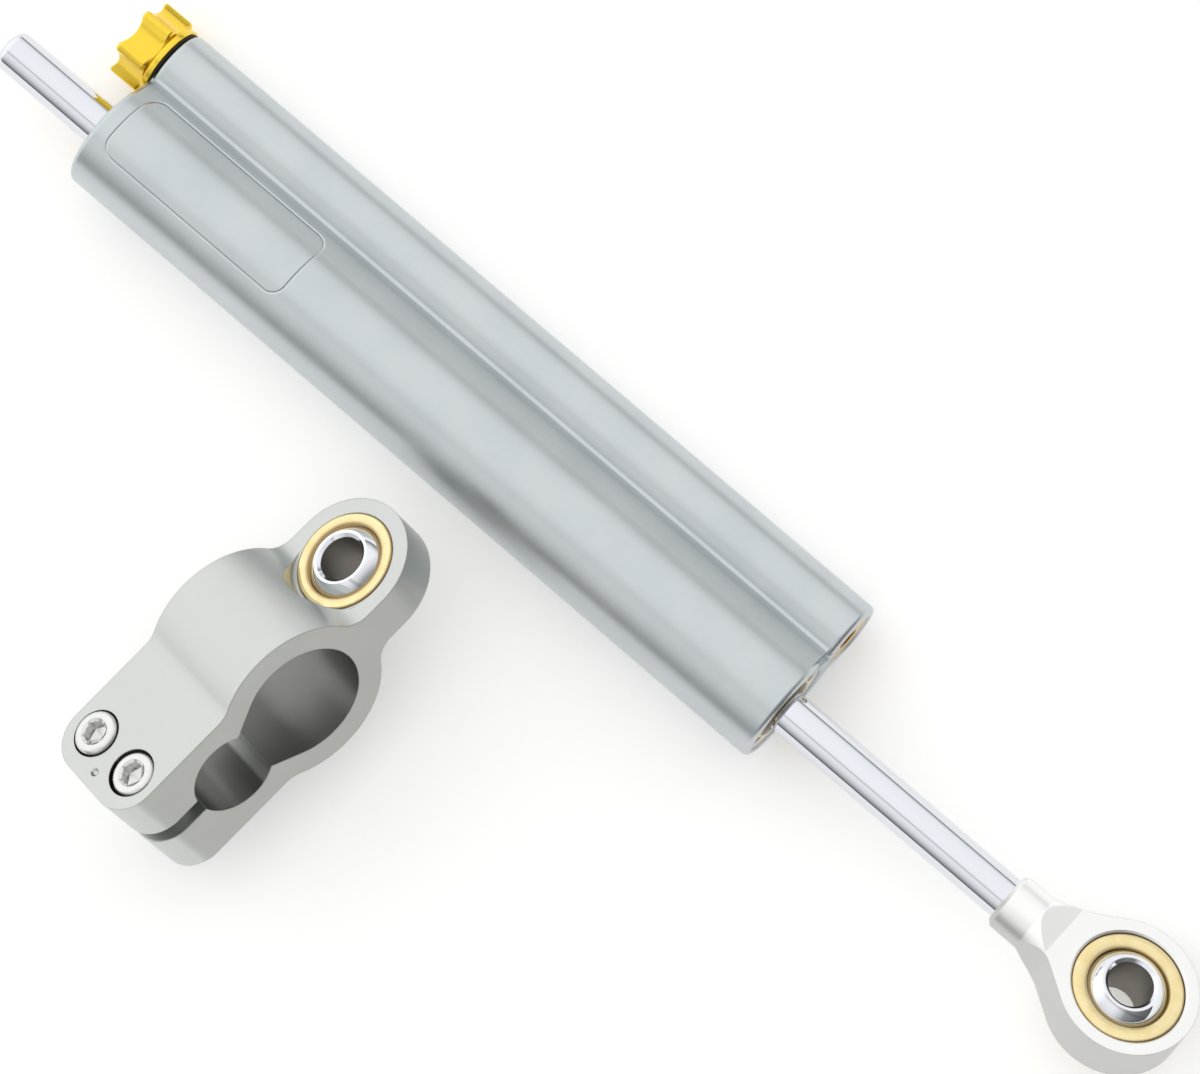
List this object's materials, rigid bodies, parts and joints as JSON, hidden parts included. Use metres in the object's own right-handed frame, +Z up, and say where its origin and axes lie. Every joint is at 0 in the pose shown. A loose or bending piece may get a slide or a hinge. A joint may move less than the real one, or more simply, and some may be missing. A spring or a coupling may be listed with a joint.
{
  "type": "motorcycle steering damper",
  "caption": "Through-rod hydraulic steering damper with a two-lobed body, a click-adjuster knob, a ball-jointed rod end and a split clamp bracket with its own ball joint.",
  "frame": {"origin": "centre of the ball in the rod end, on the rod's axis", "axes": "+X along the rod, from the body out past the rod end; +Z up, with both lobes of the body on the floor; +Y from the main lobe towards the bypass lobe"},
  "size_m": [0.2698, 0.1131, 0.0398],
  "materials": {
    "body_silver": "satin anodised, drawn along its length",
    "gold": "gold anodised, fine turned",
    "chrome": "hard chromed and polished",
    "rubber": "matt black",
    "seal": "dull green polyurethane",
    "bronze": "sintered bronze",
    "brass": "turned",
    "race_brass": "bright turned",
    "steel": "zinc plated",
    "piston_aluminium": "turned",
    "guide_band": "filled fluoropolymer",
    "rod_end_silver": "satin anodised",
    "ball_chrome": "polished",
    "clamp_silver": "bead blasted and anodised"
  },
  "bodies": {
    "body_and_clamp": {"damper_body": "body_silver", "rod_side_head": "gold", "rod_side_head_clip": "steel", "rod_side_head_o_ring": "rubber", "rod_side_wiper": "rubber", "rod_side_seal": "seal", "rod_side_bush": "bronze", "rod_side_bump_stop": "rubber", "knob_side_head": "gold", "knob_side_head_clip": "steel", "knob_side_head_o_ring": "rubber", "knob_side_wiper": "rubber", "knob_side_seal": "seal", "knob_side_bush": "bronze", "knob_side_bump_stop": "rubber", "adjuster_housing": "gold", "housing_o_ring": "rubber", "valve_seat": "brass", "seat_o_ring": "rubber", "end_plug": "gold", "plug_o_ring": "rubber", "knob_dust_seal": "rubber", "spindle_clip": "steel", "compensator_spring": "steel", "clamp_bracket": "clamp_silver", "clamp_race": "race_brass", "clamp_screws": "steel"},
    "piston_group": {"piston": "piston_aluminium", "piston_band": "guide_band", "piston_o_ring": "rubber"},
    "rod_group": {"piston_rod": "chrome", "piston_clips": "steel", "rod_end": "rod_end_silver", "rod_end_race": "race_brass"},
    "rod_ball": {"rod_end_ball": "ball_chrome"},
    "knob_group": {"adjuster_knob": "gold", "adjuster_spindle": "steel", "spindle_o_ring": "rubber", "knob_screw": "steel", "detent_ball": "steel", "detent_spring": "steel"},
    "needle": {"needle_valve": "brass"},
    "floating_piston": {"compensator_piston": "piston_aluminium", "compensator_o_ring": "rubber"},
    "bracket_ball": {"clamp_ball": "ball_chrome"}
  },
  "joints": [
    {"name": "piston_slide", "type": "slide", "parent": "body_and_clamp", "child": "piston_group", "axis": [1, 0, 0], "range_m": [-0.047, 0.021]},
    {"name": "rod_turn", "type": "hinge", "parent": "piston_group", "child": "rod_group", "pos_m": [0, 0, 0], "axis": [1, 0, 0], "continuous": true},
    {"name": "rod_ball_tilt", "type": "hinge", "parent": "rod_group", "child": "rod_ball", "pos_m": [0, 0, 0], "axis": [0, 0.8788, -0.4772], "range_deg": [-13, 13]},
    {"name": "knob_turn", "type": "hinge", "parent": "body_and_clamp", "child": "knob_group", "pos_m": [-0.2415, 0.01643, -0.0035], "axis": [1, 0, 0], "range_deg": [-150, 150]},
    {"name": "needle_slide", "type": "slide", "parent": "body_and_clamp", "child": "needle", "axis": [1, 0, 0], "range_m": [-0.00084, 0.00084]},
    {"name": "floating_piston_slide", "type": "slide", "parent": "body_and_clamp", "child": "floating_piston", "axis": [1, 0, 0], "range_m": [-0.0015, 0.0015], "stiffness_N_per_m": 900, "deforming": ["compensator_spring"]},
    {"name": "bracket_ball_tilt", "type": "hinge", "parent": "body_and_clamp", "child": "bracket_ball", "pos_m": [-0.14641, -0.03016, 0.00934], "axis": [0.0715, 0.9974, 0], "range_deg": [-13, 13]}
  ],
  "couplings": [
    {"joint": "needle_slide", "follows": "knob_turn", "m_per_rad": 0.0003183}
  ]
}
